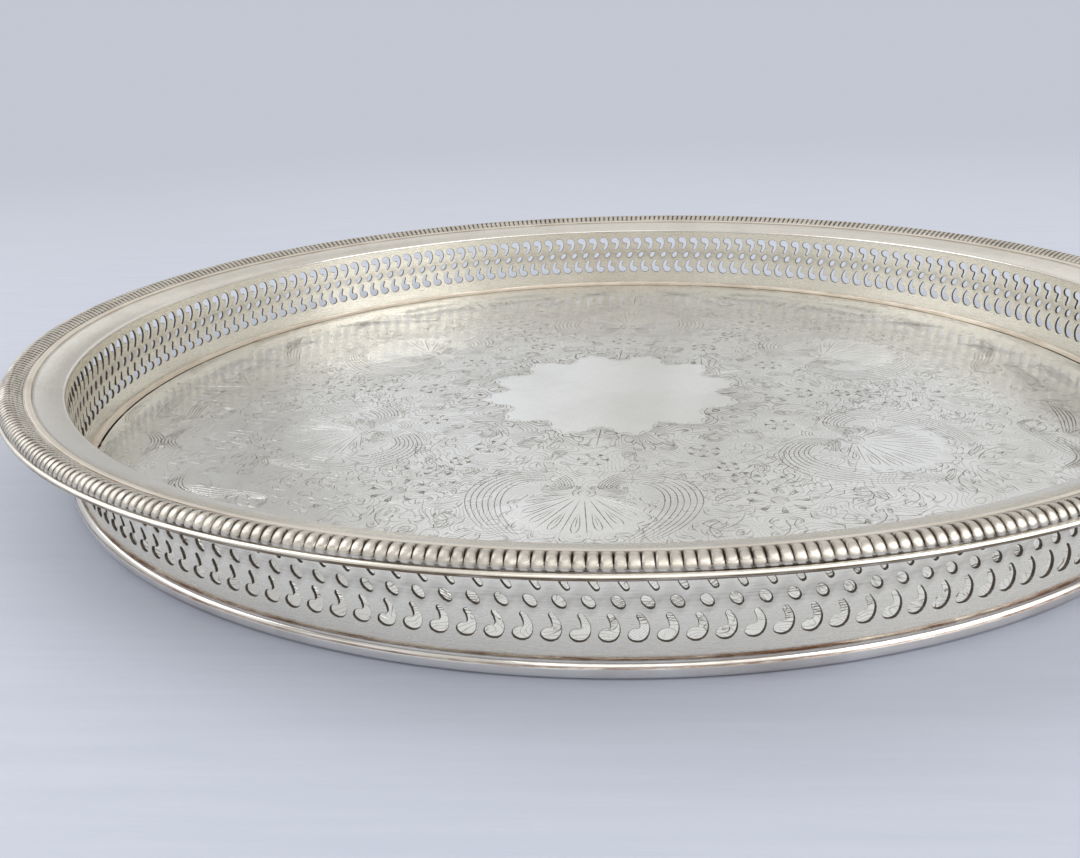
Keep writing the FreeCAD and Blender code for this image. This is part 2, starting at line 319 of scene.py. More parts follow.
def rolled_band(centre, small, large, start, turns, tail, lines, spacing, *rest):
    """A band whose first end is rolled up: a spiral, then the points of its tail."""
    band(np.vstack([spiral(centre, small, large, start, turns, 7), tail]), lines, spacing, *rest)


def roll_points(centre, *steps):
    """Points about a centre, each given by its distance and its turn."""
    return [centre + polar(reach, turn) for reach, turn in steps]


def swathe(inner, outer, lines, width=0.32, count=30):
    """Cuts that run side by side from one curve to another, closing up where the two curves meet."""
    inner, outer = along(inner, count), along(outer, count)
    for share in np.linspace(0, 1, lines):
        cut(inner * (1 - share) + outer * share, width, count, 0.7)


def leaf(base, tip, bend, width, lobes=3):
    """An acanthus leaf: a midrib, and on each side a row of round lobes with a vein to each."""
    base, tip = np.asarray(base, float), np.asarray(tip, float)
    square = np.array([-(tip - base)[1], (tip - base)[0]])
    rib = along([base, (base + tip) / 2 + square * bend, tip], 2 * lobes + 1)
    cut(rib, 0.34, 6)
    beside = side_of(rib)
    swell = np.sin(math.pi * np.linspace(0.06, 1, len(rib)) ** 0.75) * width
    for side in (1, -1):
        edge = rib + beside * (swell * side)[:, None]
        for k in range(lobes):
            a, b = edge[2 * k], edge[2 * k + 2] if k < lobes - 1 else tip
            out = (a + b) / 2 + beside[2 * k + 1] * side * width * 0.42
            cut([a * 0.82 + rib[2 * k] * 0.18, out, b], 0.34, 5)
            root = rib[2 * k + 1]
            cut([rib[2 * k] * 0.9 + a * 0.1, (root + out) / 2, out * 0.8 + root * 0.2], 0.2, 3)


def flower(centre, size, petals, turn=0.0):
    """Round petals about a ring, with two cuts in each petal."""
    centre = np.asarray(centre, float)
    for k in range(petals):
        a = math.radians(turn) + 2 * math.pi * k / petals
        way, square = np.array([math.cos(a), math.sin(a)]), np.array([-math.sin(a), math.cos(a)])
        spread = size * math.tan(math.pi / petals) * 0.95
        for side in (1, -1):
            cut([centre + way * size * 0.32, centre + way * size * 0.72 + square * spread * side,
                 centre + way * size * 1.02], 0.34, 5)
        cut([centre + way * size * 0.4, centre + way * size * 0.8], 0.2, 3)
    cut(spiral(centre, size * 0.26, size * 0.26, turn, 1.0, 8), 0.3, 8, 0.1)


def hatch(points, length, count, lean=0.5, width=0.2):
    """Short strokes set side by side along a curve, as shading."""
    line = along(points, count)
    beside = side_of(line)
    way = np.stack([beside[:, 1], -beside[:, 0]], 1)
    for k in range(count):
        reach = length * (0.55 + 0.45 * math.sin(math.pi * (k + 0.5) / count))
        cut([line[k], line[k] + (beside[k] + way[k] * lean) * reach], width, 3)


def drop(base, tip, width):
    """A teardrop: one broad cut with a fine line on each side."""
    base, tip = np.asarray(base, float), np.asarray(tip, float)
    square = np.array([-(tip - base)[1], (tip - base)[0]])
    square /= np.linalg.norm(square)
    for side in (1, -1):
        cut([base, base * 0.3 + tip * 0.7 + square * width * side, tip], 0.36, 6)


# The edge of the blank star: leaf tips reach inwards on the shell's and the spray's axes.
for degrees in (0, 30):
    leaf(polar(0.325, degrees), polar(0.205, degrees), 0.0, 0.030, 3)
for start, middle, end, turn, farther, width in ((0.262, 0.243, 0.250, 3.5, 7.5, 0.36),
                                                 (0.272, 0.252, 0.262, 4.0, 7.0, 0.24)):
    for side in (-1, 1):
        cut([polar(start, 15), polar(middle, 15 + side * turn), polar(end, 15 + side * farther)], width, 7)
leaf(polar(0.345, 15), polar(0.276, 15), 0.0, 0.018, 2)

# The inner ring of scrolls and small flowers.
flower(polar(0.372, 30), 0.030, 6, 0)
flower(polar(0.372, 0), 0.028, 6, 30)
rolled_band(polar(0.352, 9.5), 0.006, 0.021, 40, 1.1, [polar(0.392, 14), polar(0.386, 20)], 4, 0.0042)
rolled_band(polar(0.330, 21.5), 0.006, 0.019, 220, -1.1, [polar(0.300, 17.5), polar(0.292, 12)], 3, 0.0040)
leaf(polar(0.385, 16), polar(0.418, 23.5), 0.25, 0.014, 2)
leaf(polar(0.392, 12), polar(0.430, 7.5), -0.2, 0.014, 2)
for degrees in (4.6, 10.5, 16.5, 22.5, 27.0):
    hatch([polar(0.402, degrees - 2), polar(0.408, degrees + 2)], 0.012, 5)

# The shell: petals fan out from its hinge, with a teardrop in each and a scalloped double edge.
hinge = np.array([0.0, 0.512])
petal_turns = (0, 16, 32, 48, 65, 84)
petal_lengths = (0.170, 0.166, 0.156, 0.138, 0.112, 0.080)
for number, (turn, length) in enumerate(zip(petal_turns, petal_lengths)):
    way = polar(1, turn)
    drop(hinge + way * length * 0.40, hinge + way * length * 0.86, 0.0062)
    cut([hinge + way * length * 0.50, hinge + way * length * 0.76], 0.24, 4)
    if number == len(petal_turns) - 1:
        break
    next_turn, next_length = petal_turns[number + 1], petal_lengths[number + 1]
    dip = polar(1, (turn + next_turn) / 2)
    reach = (length + next_length) / 2
    cut([hinge + dip * 0.020, hinge + dip * reach * 0.5, hinge + dip * reach * 0.92], 0.42, 8)
    for step in (0.0, 0.010):
        low = hinge + dip * (reach * 0.93 + step)
        cut([hinge + way * (length + step), hinge + polar(length + step, turn + 5), low], 0.34, 6)
        cut([low, hinge + polar(next_length + step, next_turn - 5),
             hinge + polar(1, next_turn) * (next_length + step)], 0.34, 6)
for size in (0.010, 0.018):
    cut(spiral(hinge, size, size, 90, -0.5, 6), 0.36, 8)
for k in range(4):
    cut(spiral(hinge + (0.012 + 0.013 * k, -0.022 - 0.002 * k), 0.0052, 0.0052, 0, 1.0, 7), 0.28, 7, 0.1)

# The C-scroll that frames the shell: banded, rolled in beside the hinge, and closing in below the petals.
volute = np.array([0.064, 0.489])
inner = roll_points(volute, (0.005, 70), (0.009, 0), (0.016, -90), (0.022, -165)) + [
    (0.100, 0.474), (0.122, 0.505), (0.126, 0.548),
    (0.117, 0.592), (0.099, 0.632), (0.078, 0.668), (0.056, 0.704)]
outer = roll_points(volute, (0.007, 70), (0.021, 0), (0.045, -90), (0.058, -165)) + [
    (0.120, 0.430), (0.168, 0.466), (0.186, 0.522),
    (0.176, 0.580), (0.150, 0.632), (0.112, 0.674), (0.062, 0.708)]
swathe(inner, outer, 7, 0.36, 40)
cut(spiral(volute, 0.004, 0.004, 0, 1.0, 8), 0.34, 8, 0.1)
swathe([(0.0, 0.436), (0.012, 0.440), (0.022, 0.452)],
       [(0.0, 0.418), (0.020, 0.424), (0.034, 0.434)], 4, 0.3, 8)
leaf((0.184, 0.500), (0.252, 0.474), 0.30, 0.019, 3)
leaf((0.188, 0.546), (0.262, 0.545), 0.32, 0.021, 3)
leaf((0.176, 0.598), (0.256, 0.618), 0.30, 0.021, 3)
leaf((0.142, 0.652), (0.218, 0.686), 0.26, 0.020, 3)
leaf((0.140, 0.440), (0.196, 0.414), 0.25, 0.015, 2)

# Above the shell: a palmette on the axis between two rolled scrolls.
leaf((0.0, 0.722), (0.0, 0.856), 0.0, 0.026, 4)
leaf((0.016, 0.720), (0.078, 0.806), -0.18, 0.021, 3)
leaf((0.026, 0.712), (0.118, 0.752), -0.20, 0.018, 3)
near, far = np.array([0.100, 0.846]), np.array([0.248, 0.744])
inner = (roll_points(near, (0.005, 200), (0.008, 270), (0.011, 0), (0.014, 60))
         + [(0.136, 0.812), (0.164, 0.784), (0.190, 0.752), (0.212, 0.730)]
         + roll_points(far, (0.028, 195), (0.022, 110), (0.012, 30), (0.006, -50)))
outer = (roll_points(near, (0.006, 200), (0.018, 270), (0.032, 0), (0.040, 60))
         + [(0.164, 0.838), (0.192, 0.806), (0.208, 0.776), (0.220, 0.754)]
         + roll_points(far, (0.020, 215), (0.011, 130), (0.007, 40), (0.004, -40)))
swathe(inner, outer, 6, 0.3, 44)
leaf((0.128, 0.872), (0.060, 0.915), 0.22, 0.018, 3)
leaf((0.176, 0.840), (0.196, 0.912), -0.25, 0.020, 3)
leaf((0.212, 0.800), (0.276, 0.862), -0.22, 0.021, 3)
leaf((0.0, 0.872), (0.0, 0.930), 0.0, 0.016, 2)
leaf((0.268, 0.762), (0.346, 0.802), -0.2, 0.019, 3)

# The spray between two shells: a large flower, buds and leaves along the sector's far edge.
flower(polar(0.600, 30), 0.052, 8, 60)
flower(polar(0.505, 30), 0.026, 6, 60)
leaf(polar(0.548, 30), polar(0.470, 22.5), 0.2, 0.018, 3)
leaf(polar(0.648, 27.5), polar(0.716, 23.5), -0.2, 0.022, 3)
leaf(polar(0.560, 26.0), polar(0.572, 21.0), 0.2, 0.013, 2)
leaf(polar(0.662, 30), polar(0.765, 30), 0.0, 0.026, 3)
flower(polar(0.452, 30), 0.018, 5, 60)
leaf(polar(0.782, 30), polar(0.905, 30), 0.0, 0.028, 4)
leaf(polar(0.792, 28.5), polar(0.880, 24.5), 0.2, 0.021, 3)
leaf(polar(0.445, 14), polar(0.478, 19.5), -0.25, 0.014, 2)
cut([polar(0.440, 30), polar(0.450, 25), polar(0.440, 20), polar(0.452, 17)], 0.26, 10)
cut([polar(0.600, 24.5), polar(0.640, 22.0), polar(0.660, 18.8), polar(0.645, 16.8)], 0.28, 10)
cut([polar(0.720, 21.5), polar(0.745, 18.8), polar(0.742, 16.2)], 0.28, 8)

# An outer garland of banded scrolls and leaves runs close to the rim.
# Broad swathes of cuts wave along the outer third of the plate.
for low, high, bow in ((3, 13, 0.012), (15, 28, -0.010)):
    middle = (low + high) / 2
    swathe([polar(0.828, low), polar(0.836 + bow, middle), polar(0.824, high)],
           [polar(0.846, low + 1), polar(0.862 + bow, middle), polar(0.842, high - 1)], 5, 0.5, 16)
    swathe([polar(0.893, low + 1), polar(0.878 - bow, middle), polar(0.896, high)],
           [polar(0.908, low), polar(0.903 - bow, middle), polar(0.909, high - 1)], 5, 0.5, 16)
band([polar(0.948, 1), polar(0.958, 5), polar(0.952, 9.5), polar(0.934, 12.5)], 4, 0.0058, 0.30, 14)
band([polar(0.934, 14.5), polar(0.956, 18), polar(0.956, 23), polar(0.940, 27)], 4, 0.0058, 0.30, 14)
rolled_band(polar(0.845, 16.2), 0.006, 0.024, 60, 1.1, [polar(0.880, 13.5), polar(0.902, 9.0)],
            4, 0.0052, 0.28, 18)
rolled_band(polar(0.838, 26.8), 0.005, 0.020, 240, -1.1, [polar(0.872, 22.5), polar(0.868, 20.0)],
            3, 0.0050, 0.28, 16)
leaf(polar(0.925, 27.0), polar(0.935, 30), 0.2, 0.014, 2)
leaf(polar(0.908, 17.0), polar(0.925, 22.5), -0.22, 0.017, 3)
leaf(polar(0.780, 14.6), polar(0.796, 19.0), 0.22, 0.016, 3)
leaf(polar(0.735, 25.4), polar(0.690, 19.8), -0.22, 0.016, 3)
leaf(polar(0.630, 20.0), polar(0.690, 17.2), 0.25, 0.015, 2)
leaf(polar(0.500, 18.6), polar(0.545, 23.4), -0.25, 0.015, 3)
leaf(polar(0.464, 24.0), polar(0.500, 26.4), 0.25, 0.011, 2)
band([polar(0.690, 2), polar(0.700, 6), polar(0.692, 9.4)], 3, 0.0046, 0.24, 10)
band([polar(0.428, 3), polar(0.420, 9), polar(0.428, 15), polar(0.420, 22)], 2, 0.0046, 0.22, 16)
hatch([polar(0.968, 1), polar(0.970, 15), polar(0.968, 29)], 0.010, 44, 0.4, 0.2)

# Fine shading fills the ground between the scrolls.
for radius, low, high, count in (
        (0.925, 2, 28, 34), (0.700, 17, 21, 8), (0.505, 19, 24, 8), (0.465, 9, 13, 7), (0.535, 22, 26, 7),
        (0.655, 22, 26, 7), (0.775, 6, 8.5, 5), (0.860, 9.5, 12, 5), (0.872, 19, 23, 8), (0.835, 25, 27.5, 5),
        (0.430, 24, 28, 7), (0.300, 4, 8, 6), (0.300, 22, 26, 6), (0.688, 0.5, 9, 12)):
    middle = polar(radius + 0.003, (low + high) / 2)
    hatch([polar(radius, low), middle, polar(radius, high)], 0.015, count)


def star_edge(turn):
    """The blank star's radius: its points lie between the leaf tips."""
    share = abs(turn / half_sector * 2 - 1)
    return 0.262 - 0.055 * share ** 1.3


def ground(points):
    """How closely the ground is chased: most round the star, hardly on the shell, not on the star."""
    turn = np.abs(np.arctan2(points[:, 0], points[:, 1]))
    radius = np.linalg.norm(points, axis=1)
    aside, ahead = np.abs(points[:, 0] - hinge[0]), points[:, 1] - hinge[1]
    on_shell = (np.hypot(aside, ahead) < 0.15) & (ahead > aside * 0.5)
    edge = np.array([star_edge(t) for t in turn])
    closeness = 1.0 + 1.9 * np.exp(-np.maximum(radius - edge, 0) / 0.055)
    return np.where((radius > edge - 1e-6) & (radius < 0.975), np.where(on_shell, 0.25, closeness), 0.0)


def engraved_twelfth():
    """Flat triangles of one twelfth of the plate, with each point's depth in the cuts."""
    rim_turns = np.linspace(0, half_sector, 31)
    points = [(0.0, 0.0)] + [(math.sin(turn), math.cos(turn)) for turn in rim_turns]
    edges = [(k, (k + 1) % len(points)) for k in range(len(points))]
    for inset in (0.0, 0.002):
        first = len(points)
        for turn in np.linspace(0, half_sector, 25):
            reach = star_edge(turn) - inset
            points.append((reach * math.sin(turn), reach * math.cos(turn)))
        edges += [(k, k + 1) for k in range(first, len(points) - 1)]
    for line, half_width in cuts:
        beside = side_of(line)
        rows = []
        for side in (1, 0, -1):
            row = []
            for k, place in enumerate(line):
                if side and k in (0, len(line) - 1):
                    row.append(None)
                    continue
                row.append(len(points))
                points.append(tuple(place + beside[k] * half_width[k] * side))
            rows.append(row)
        middle = rows[1]
        for row in rows:
            row[0], row[-1] = middle[0], middle[-1]
            edges += list(zip(row, row[1:]))
    scale = 100.0
    made = geometry.delaunay_2d_cdt([Vector(p) * scale for p in points], edges, [], 0, 1e-5)
    flat = np.array([tuple(p) for p in made[0]]) / scale
    corners = np.array(made[2])
    middles = flat[corners].mean(1)
    turn = np.arctan2(middles[:, 0], middles[:, 1])
    corners = corners[(turn > 0) & (turn < half_sector) & (np.linalg.norm(middles, axis=1) < 0.99995)]
    depth = np.zeros(len(flat))
    for line, half_width in cuts:
        reach = half_width.max()
        near = np.nonzero(((flat > line.min(0) - reach) & (flat < line.max(0) + reach)).all(1))[0]
        if not len(near):
            continue
        start, step = line[:-1], np.diff(line, axis=0)
        away = flat[near][:, None] - start
        share = np.clip((away * step).sum(2) / ((step * step).sum(1) + 1e-18), 0, 1)
        distance = np.linalg.norm(away - share[..., None] * step, axis=2)
        here = half_width[:-1] + (half_width[1:] - half_width[:-1]) * share - distance
        depth[near] = np.maximum(depth[near], here.max(1))
    return flat * wall_out, corners, np.maximum(depth, 0) * wall_out


flat, corners, depth = engraved_twelfth()
cut_slope = 0.5
dark_depth = 0.075 * mm
plate_points = []
plate_faces = []
plate_depth = []
for sector in range(shells):
    middle = shell_turn + 2 * half_sector * sector
    outward = np.array([math.sin(middle), -math.cos(middle)])
    sideways = np.array([math.cos(middle), math.sin(middle)])
    for mirror in (1, -1):
        base = len(plate_depth)
        place = flat[:, :1] * sideways * mirror + flat[:, 1:] * outward
        plate_points += [(x, y, plate_top - d * cut_slope) for (x, y), d in zip(place, depth)]
        plate_depth += list(depth)
        order = corners if mirror < 0 else corners[:, ::-1]
        plate_faces += [tuple(int(c) + base for c in face) for face in order]
plate_points = np.array(plate_points)
plate_depth = np.array(plate_depth)

edge_steps = 360
under = len(plate_points)
edge_turns = shell_turn + np.arange(edge_steps) * 2 * math.pi / edge_steps
rim_points = np.stack([wall_out * np.sin(edge_turns), -wall_out * np.cos(edge_turns)], 1)
low_ring = [(x, y, plate_bottom) for x, y in rim_points]
high_ring = [(x, y, plate_top) for x, y in rim_points]
extra = high_ring + low_ring + [(0.0, 0.0, plate_bottom)]
for step in range(edge_steps):
    after = (step + 1) % edge_steps
    plate_faces.append((under + step, under + edge_steps + step, under + edge_steps + after, under + after))
    plate_faces.append((under + edge_steps + after, under + edge_steps + step, under + 2 * edge_steps))
all_points = np.vstack([plate_points, np.array(extra)])
plate_reach = np.hypot(plate_points[:, 0], plate_points[:, 1]) / wall_out
rim_stain = np.clip((plate_reach - 0.955) / 0.03, 0, 1) * 0.3
all_dirt = np.concatenate([np.clip(plate_depth / dark_depth + rim_stain, 0, 1), np.zeros(len(extra))])
plate_chased = np.tile(ground(flat / wall_out), 2 * shells)
all_chased = np.concatenate([plate_chased, np.zeros(len(extra))])
all_points, plate_faces, all_dirt = weld(all_points, plate_faces, np.stack([all_dirt, all_chased], 1))
floor_plate = make_object(
    "engraved_floor", all_points, plate_faces, engraved_silver, all_dirt[:, 0], smooth=False)
set_points(floor_plate.data, "chased", all_dirt[:, 1])
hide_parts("floor_plate")


# ---------------------------------------------------------------------------------------------
# The foot: a drawn moulding of silver, bent to a ring and soldered round the bottom of the wall.
# Tarnish and old solder darken the joint above it and the crease between its two members.
# ---------------------------------------------------------------------------------------------

foot_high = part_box("foot_moulding")[1]
foot_out, foot_top = foot_high.x, foot_high.z
foot_crease = 3.0 * mm
foot_tuck = (1.5 * mm, 1.6 * mm)
ledge_in = wall_out - 1.6 * mm
# Its strong reddish-brown clouds are partly tarnish and partly a painted reflection of a brown thing in the
# room.
foot_silver = silver(
    "foot_silver", (0.88, 0.86, 0.83), (0.16, 0.085, 0.055), 0.09, 0.22, 0.6, cloud_scale=14.0)

foot_section = (
    [(ledge_in, plate_bottom), (ledge_in, 0.0)]
    + arc((foot_out - foot_tuck[0], 0.0), (foot_out, foot_tuck[1]), -0.2 * mm, 6)
    + [(foot_out - 0.02 * mm, foot_crease - 0.5 * mm)]
    + arc((foot_out - 0.05 * mm, foot_crease - 0.3 * mm), (foot_out - 0.25 * mm, foot_crease), -0.05 * mm, 3)
    + arc((foot_out - 0.28 * mm, foot_crease + 0.05 * mm), (wall_out + 0.05 * mm, foot_top), -0.22 * mm, 8)
    + [(wall_out, foot_top), (wall_out, plate_bottom)]
)
foot_grime_and_shade = []
for r, z in foot_section:
    near_crease = abs(z - foot_crease) < 0.12 * mm
    near_joint = z > foot_top - 0.12 * mm
    # The bottom edge, where the foot stands on the table, is painted darker as contact shade.
    near_table = z < 0.2 * mm
    foot_grime_and_shade.append(0.75 if near_crease else 0.8 if near_joint else 0.45 if near_table else 0.04)
foot = turned("foot_ring", foot_section, foot_silver, foot_grime_and_shade)
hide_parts("foot_moulding")


# ---------------------------------------------------------------------------------------------
# The corner wire: half-round silver wire soldered into the angle between floor and gallery.
# Polish never reaches its two edges, so both are lined with brown tarnish.
# ---------------------------------------------------------------------------------------------

wire_width = 2.4 * mm
wire_height = 1.3 * mm
wire_silver = silver("wire_silver", (0.92, 0.87, 0.79), (0.36, 0.27, 0.19), 0.36, 0.25, 0.30)
corner_arc = arc((wall_in, plate_top + wire_height), (wall_in - wire_width, plate_top), 0.48 * mm, 12)
corner_section = corner_arc + [(wall_in, plate_top)]
corner_grime = [0.8] + [0.38] * (len(corner_arc) - 2) + [0.8] * 2
corner = turned("corner_ring", corner_section, wire_silver, corner_grime)
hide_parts("corner_wire")


# ---------------------------------------------------------------------------------------------
# The gallery: a band of silver sheet, pierced with the fly press in three rows, then bent round
# and soldered on edge to the floor. The punched holes have softly worn edges.
# ---------------------------------------------------------------------------------------------

repeats = 194
pitch = 2 * math.pi / repeats
comma_low = 7.35 * mm
first_comma = -0.95 * mm
oval_step = (1.67 * mm, 8.15 * mm)
oval_half = (1.53 * mm, 0.95 * mm)
oval_lean = math.radians(130)
COMMA = np.array([
    (0.00, 0.00), (0.97, 0.32), (1.70, 1.30), (1.94, 2.67), (1.70, 3.89), (1.13, 4.94), (0.57, 5.67),
    (0.16, 5.86), (-0.22, 5.62), (-0.26, 5.18), (0.08, 4.46), (0.27, 3.73), (0.33, 3.08), (0.10, 2.72),
    (-0.65, 2.66), (-1.30, 2.38), (-1.78, 1.78), (-1.83, 0.97), (-1.38, 0.40), (-0.81, 0.10),
]) * mm
oval_grime, plain_grime, hole_grime = 0.30, 0.02, 1.9
# Its warm tint is partly the tarnish's own colour and partly a painted warm reflection.
gallery_silver = silver("gallery_silver", (1.0, 0.955, 0.84), (0.10, 0.085, 0.07), 0.25, 0.55, 0.03)


def smooth_loop(points, parts):
    """A smooth closed curve through the points, with so many parts to each span."""
    points = np.asarray(points)
    spans = zip(*(np.roll(points, -k, 0) for k in (-1, 0, 1, 2)))
    return np.array([between(*span, part / parts) for span in spans for part in range(parts)])


def loop_normals(loop):
    """Unit vectors that point out of an anticlockwise loop."""
    way = np.roll(loop, -1, 0) - np.roll(loop, 1, 0)
    way /= np.linalg.norm(way, axis=1)[:, None]
    return np.stack([way[:, 1], -way[:, 0]], 1)


def hole_loops():
    """The three holes of one repeat, as anticlockwise loops of (sideways, up)."""
    comma = smooth_loop(COMMA, 2)
    low = np.array([first_comma, comma_low])
    middle = low + oval_step
    top = middle + oval_step
    turn = np.linspace(0, 2 * math.pi, 20, endpoint=False)
    flat = np.stack([oval_half[0] * np.cos(turn), oval_half[1] * np.sin(turn)], 1)
    lean = np.array([[math.cos(oval_lean), math.sin(oval_lean)], [-math.sin(oval_lean), math.cos(oval_lean)]])
    return [low + comma, middle + flat @ lean, top - comma]


edge_round = 0.18 * mm
seam_out = 1.75 * mm
seam_slope = 0.31
loops = hole_loops()
band_bottom = plate_top


def seam_x(z):
    return first_comma + seam_out + seam_slope * (z - comma_low)


def flat_skin():
    """Triangles that fill one repeat of the wall between the holes' rounded edges."""
    heights = np.linspace(band_bottom, wall_top, 9)
    width = pitch * wall_out
    left = [(seam_x(z) - width, z) for z in heights]
    right = [(seam_x(z), z) for z in heights]
    low_row = [(left[0][0] + width * k / 4, heights[0]) for k in range(1, 4)]
    high_row = [(left[-1][0] + width * k / 4, heights[-1]) for k in range(1, 4)]
    frame_loop = low_row + right + high_row[::-1] + left[::-1]
    points = [Vector(p) for p in frame_loop]
    edges = [(k, (k + 1) % len(frame_loop)) for k in range(len(frame_loop))]
    for loop in loops:
        base = len(points)
        outer = loop + loop_normals(loop) * edge_round
        points += [Vector(p) for p in outer]
        edges += [(base + k, base + (k + 1) % len(loop)) for k in range(len(loop))]
    made = geometry.delaunay_2d_cdt([p / mm for p in points], edges, [], 0, 1e-6)
    return np.array([tuple(p) for p in made[0]]) * mm, made[2]


# The leaning seams run between the holes, so each loop moves by whole repeats to lie inside them.
for index, loop in enumerate(loops):
    middle = loop.mean(0)
    while middle[0] > seam_x(middle[1]):
        loop = loop - (pitch * wall_out, 0)
        middle = loop.mean(0)
    loops[index] = loop


def inside(point, loop):
    """Whether the point lies inside the loop: a line from it then crosses the loop an odd number of times."""
    x, y = point
    x0, y0 = loop[:, 0], loop[:, 1]
    x1, y1 = np.roll(x0, -1), np.roll(y0, -1)
    crosses = ((y0 > y) != (y1 > y)) & (x < (x1 - x0) * (y - y0) / (y1 - y0 + 1e-30) + x0)
    return crosses.sum() % 2 == 1


flat_points, triangles = flat_skin()
grown = [loop + loop_normals(loop) * edge_round for loop in loops]
kept = []
for triangle in triangles:
    middle = flat_points[list(triangle)].mean(0)
    if not any(inside(middle, loop) for loop in grown):
        kept.append(tuple(triangle))

oval_middle = comma_low + oval_step[1]
wall_points = []
wall_faces = []
wall_normals = []
wall_grime = []


def wall_vertex(x, z, radius, turn, normal, grime_and_shade):
    """Bends one point of the flat band round to the wall, keeps its normal and stain, and numbers it."""
    angle = x / wall_out + turn - math.pi / 2
    wall_points.append((radius * math.cos(angle), radius * math.sin(angle), z))
    out, side, up = normal
    wall_normals.append((
        out * math.cos(angle) - side * math.sin(angle), out * math.sin(angle) + side * math.cos(angle), up))
    wall_grime.append(grime_and_shade)
    return len(wall_points) - 1


for repeat in range(repeats):
    turn = repeat * pitch
    for radius, outward in ((wall_out, 1), (wall_in, -1)):
        ids = []
        for x, z in flat_points:
            worn = oval_grime if abs(z - oval_middle) < oval_half[0] + edge_round else plain_grime
            ids.append(wall_vertex(x, z, radius, turn, (outward, 0, 0), worn))
        for triangle in kept:
            face = tuple(ids[k] for k in triangle)
            wall_faces.append(face if outward > 0 else face[::-1])
    for index, loop in enumerate(loops):
        outward = loop_normals(loop)
        rows = []
        profile = [
            (wall_out, edge_round, (1.0, 0.0)),
            (wall_out - edge_round, 0.0, (0.0, 1.0)),
            (wall_in + edge_round, 0.0, (0.0, 1.0)),
            (wall_in, edge_round, (-1.0, 0.0)),
        ]
        worn = oval_grime if index == 1 else plain_grime
        for (radius, spread, (radial, into)), dirt in zip(profile, (worn, hole_grime, hole_grime, worn)):
            row = []
            for (x, z), (nx, nz) in zip(loop + outward * spread, outward):
                normal = (radial, -nx * into, -nz * into)
                row.append(wall_vertex(x, z, radius, turn, normal, dirt))
            rows.append(row)
        for upper, lower in zip(rows, rows[1:]):
            for k in range(len(loop)):
                n = (k + 1) % len(loop)
                wall_faces.append((upper[k], upper[n], lower[n], lower[k]))
    for z, up in ((band_bottom, -1), (wall_top, 1)):
        width = pitch * wall_out
        left = seam_x(z) - width
        for k in range(4):
            a, b = left + width * k / 4, left + width * (k + 1) / 4
            quad = [wall_vertex(x, z, r, turn, (0, 0, up), 0.2) for x, r in
                    ((a, wall_out), (b, wall_out), (b, wall_in), (a, wall_in))]
            wall_faces.append(tuple(quad) if up > 0 else tuple(quad[::-1]))

wall_extras = np.hstack([np.array(wall_normals), np.array(wall_grime)[:, None]])
wall_points, wall_faces, wall_extras = weld(wall_points, wall_faces, wall_extras)
wall_normals, wall_grime = wall_extras[:, :3], wall_extras[:, 3]
gallery = make_object(
    "pierced_gallery", wall_points, wall_faces, gallery_silver, wall_grime, sharp_degrees=180)
gallery.data.normals_split_custom_set_from_vertices([tuple(normal) for normal in wall_normals])
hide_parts("gallery_band")


# ---------------------------------------------------------------------------------------------
# The rim flange: a ring of sheet turned out from the wall, gently dished by raising, and left
# plain. Its outer part runs flat under the border, and its raw edge shows as a thin line below.
# ---------------------------------------------------------------------------------------------

sheet = 0.7 * mm
bead_start = (wall_out + 6.75 * mm, 29.45 * mm)
border_start = (bead_start[0] + 1.75 * mm, bead_start[1] + 0.4 * mm)
sheet_edge = (border_start[0] + 6.8 * mm, border_start[1] - 1.05 * mm)
flange_silver = silver("flange_silver", (0.92, 0.895, 0.845), (0.20, 0.15, 0.10), 0.14, 0.35, 0.14)
dish_start = (wall_in + 0.65 * mm, wall_top + 1.0 * mm)
flange_section = (
    [(wall_in, wall_top), (wall_in, wall_top + 0.25 * mm)]
    + arc((wall_in, wall_top + 0.4 * mm), dish_start, 0.13 * mm, 5)
    + arc(dish_start, bead_start, -0.2 * mm, 8)[1:]
    + [border_start, sheet_edge]
    + arc((sheet_edge[0], sheet_edge[1] - 0.1 * mm), (sheet_edge[0], sheet_edge[1] - sheet), 0.1 * mm, 4)
    + [(border_start[0], border_start[1] - sheet), (bead_start[0], bead_start[1] - sheet)]
    + arc((bead_start[0] - 0.2 * mm, bead_start[1] - sheet - 0.1 * mm), (wall_out, wall_top), 0.2 * mm, 8)
)[::-1]
flange_grime = []
for r, z in flange_section:
    near_bead = abs(r - bead_start[0]) < 0.25 * mm
    near_edge = r > border_start[0] + 5 * mm
    flange_grime.append(0.6 if near_bead else 1.0 if near_edge else 0.06)
rim_wave, rim_seed = 0.05 * mm, 4
flange = turned("rim_flange_ring", flange_section, flange_silver, flange_grime, rim_wave, rim_seed)
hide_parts("rim_flange")


# ---------------------------------------------------------------------------------------------
# The bead: a thin half-round silver wire, soldered over the joint where the border meets the
# flange. Tarnish stays along both of its edges, and it follows the flange's slight waves.
# ---------------------------------------------------------------------------------------------

bead_side = 0.08 * mm
bead_section = ([border_start, bead_start] + arc(
    (bead_start[0] + 0.02 * mm, bead_start[1] + bead_side),
    (border_start[0] - 0.02 * mm, border_start[1] + bead_side), 0.2 * mm, 8))[::-1]
bead_grime = []
for r, z in bead_section:
    from_edge = min(abs(r - bead_start[0]), abs(r - border_start[0]))
    bead_grime.append(0.9 if from_edge < 0.2 * mm else 0.05)
bead = turned("rim_bead_wire", bead_section, wire_silver, bead_grime, rim_wave, rim_seed)
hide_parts("rim_bead")


